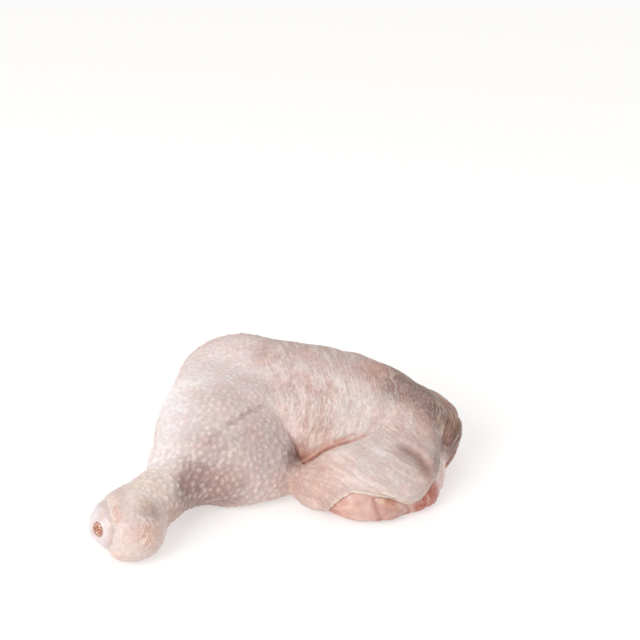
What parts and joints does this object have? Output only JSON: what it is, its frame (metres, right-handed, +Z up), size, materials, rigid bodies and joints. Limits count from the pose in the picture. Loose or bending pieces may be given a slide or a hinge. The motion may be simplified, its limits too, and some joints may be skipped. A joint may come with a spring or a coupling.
{
  "type": "raw chicken leg quarter",
  "caption": "Raw poultry leg quarter with thigh and drumstick in one, skin up, bare cartilage knuckle at the ankle, lying flat on its cut side.",
  "frame": {"origin": "centre of the footprint, on the surface that the leg lies on", "axes": "+Z up, +X towards the hip end of the thigh, +Y towards the knee, the ankle at -X -Y"},
  "size_m": [0.159, 0.1504, 0.0474],
  "materials": {
    "skin": "moist raw poultry skin, pale pink with raised follicles",
    "meat": "wet raw muscle with thin fat",
    "cartilage": "wet white joint cartilage"
  },
  "bodies": {
    "root": {"skin": "skin", "meat": "meat", "cartilage": "cartilage"}
  },
  "joints": []
}
